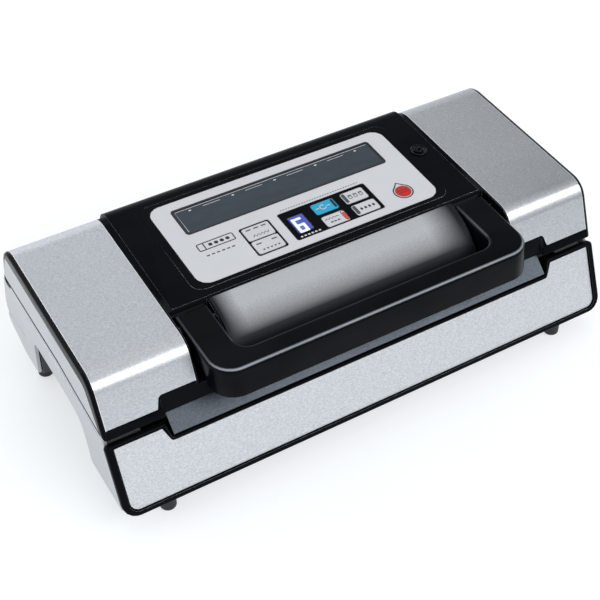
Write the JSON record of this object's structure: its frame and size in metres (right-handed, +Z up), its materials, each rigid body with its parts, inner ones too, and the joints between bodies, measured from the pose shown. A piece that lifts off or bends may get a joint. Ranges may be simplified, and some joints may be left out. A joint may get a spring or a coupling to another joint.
{
  "type": "vacuum sealer",
  "caption": "Countertop vacuum sealer with a hinged lid, steel end covers, a lever handle, a key console with display and window, and a roll bay and cutter inside.",
  "frame": {"origin": "middle of the footprint, on the surface the feet stand on", "axes": "+X to the right of a person facing the front, which looks along -Y; +Z up"},
  "size_m": [0.429, 0.2253, 0.1292],
  "materials": {
    "black_gloss": "high gloss",
    "inner_plastic": "fine texture",
    "silver_plastic": "satin silver paint",
    "steel": "brushed",
    "dark_steel": "brushed, dark tint",
    "label_grey": "smooth film",
    "key_grey": "satin",
    "key_blue": "satin",
    "key_red": "satin",
    "smoked_lens": "polished",
    "black_rubber": "matt",
    "silicone": "matt",
    "tape": "coated cloth",
    "board": "solder mask"
  },
  "bodies": {
    "base": {"front_bezel": "black_gloss", "base_housing": "inner_plastic", "base_deck": "inner_plastic", "pump_head": "inner_plastic", "lid_switch": "inner_plastic", "left_end_panel": "silver_plastic", "right_end_panel": "silver_plastic", "front_plate": "steel", "left_catch": "steel", "right_catch": "steel", "hinge_rod": "steel", "heating_strip": "steel", "pump_motor": "steel", "solenoid_valve": "steel", "transformer": "steel", "front_left_screw": "steel", "front_right_screw": "steel", "rear_left_screw": "steel", "rear_right_screw": "steel", "finger_trough": "dark_steel", "cutter_rail": "label_grey", "lower_gasket": "black_rubber", "vacuum_hose": "black_rubber", "cable_gland": "black_rubber", "front_left_foot": "black_rubber", "front_right_foot": "black_rubber", "rear_left_foot": "black_rubber", "rear_right_foot": "black_rubber", "sealing_bar": "silicone", "ptfe_tape": "tape", "power_board": "board"},
    "lid": {"lid_frame": "black_gloss", "left_cover": "steel", "right_cover": "steel", "left_skirt": "silver_plastic", "right_skirt": "silver_plastic", "centre_cover": "silver_plastic", "label_panel": "label_grey", "window_lens": "smoked_lens", "display_lens": "smoked_lens", "accessory_port": "black_gloss", "control_board": "board", "lid_liner": "inner_plastic", "upper_gasket": "black_rubber", "pressure_pad": "silicone"},
    "lever": {"handle": "black_gloss", "lock_shaft": "steel", "left_hook": "steel", "right_hook": "steel"},
    "sealing_key_cap": {"sealing_key": "key_grey"},
    "pressure_key_cap": {"pressure_key": "key_grey"},
    "auto_key_cap": {"auto_key": "key_blue"},
    "manual_key_cap": {"manual_key": "key_grey"},
    "canister_key_cap": {"canister_key": "key_grey"},
    "marinate_key_cap": {"marinate_key": "key_grey"},
    "stop_key_cap": {"stop_key": "key_red"},
    "cutter": {"cutter_slider": "key_blue", "cutter_blade": "steel"},
    "tray": {"drip_tray": "inner_plastic"},
    "rotor": {"pump_shaft": "steel"}
  },
  "joints": [
    {"name": "lid_hinge", "type": "hinge", "parent": "base", "child": "lid", "pos_m": [0, 0.0945, 0.086], "axis": [-1, 0, 0], "range_deg": [0, 65]},
    {"name": "handle_pivot", "type": "hinge", "parent": "lid", "child": "lever", "pos_m": [0, -0.047, 0.113], "axis": [-1, 0, 0], "range_deg": [0, 40]},
    {"name": "sealing_key_press", "type": "slide", "parent": "lid", "child": "sealing_key_cap", "axis": [0, 0.0401, -0.9992], "range_m": [0, 0.0006], "stiffness_N_per_m": 200, "springref_m": -0.001},
    {"name": "pressure_key_press", "type": "slide", "parent": "lid", "child": "pressure_key_cap", "axis": [0, 0.0401, -0.9992], "range_m": [0, 0.0006], "stiffness_N_per_m": 200, "springref_m": -0.001},
    {"name": "auto_key_press", "type": "slide", "parent": "lid", "child": "auto_key_cap", "axis": [0, 0.0401, -0.9992], "range_m": [0, 0.0006], "stiffness_N_per_m": 200, "springref_m": -0.001},
    {"name": "manual_key_press", "type": "slide", "parent": "lid", "child": "manual_key_cap", "axis": [0, 0.0401, -0.9992], "range_m": [0, 0.0006], "stiffness_N_per_m": 200, "springref_m": -0.001},
    {"name": "canister_key_press", "type": "slide", "parent": "lid", "child": "canister_key_cap", "axis": [0, 0.0401, -0.9992], "range_m": [0, 0.0006], "stiffness_N_per_m": 200, "springref_m": -0.001},
    {"name": "marinate_key_press", "type": "slide", "parent": "lid", "child": "marinate_key_cap", "axis": [0, 0.0401, -0.9992], "range_m": [0, 0.0006], "stiffness_N_per_m": 200, "springref_m": -0.001},
    {"name": "stop_key_press", "type": "slide", "parent": "lid", "child": "stop_key_cap", "axis": [0, 0.0401, -0.9992], "range_m": [0, 0.0006], "stiffness_N_per_m": 200, "springref_m": -0.001},
    {"name": "cutter_slide", "type": "slide", "parent": "base", "child": "cutter", "axis": [1, 0, 0], "range_m": [0, 0.29]},
    {"name": "tray_lift", "type": "slide", "parent": "base", "child": "tray", "axis": [0, 0, 1], "range_m": [0, 0.004]},
    {"name": "pump_spin", "type": "hinge", "parent": "base", "child": "rotor", "pos_m": [-0.095, -0.034, 0.04], "axis": [1, 0, 0], "continuous": true}
  ]
}
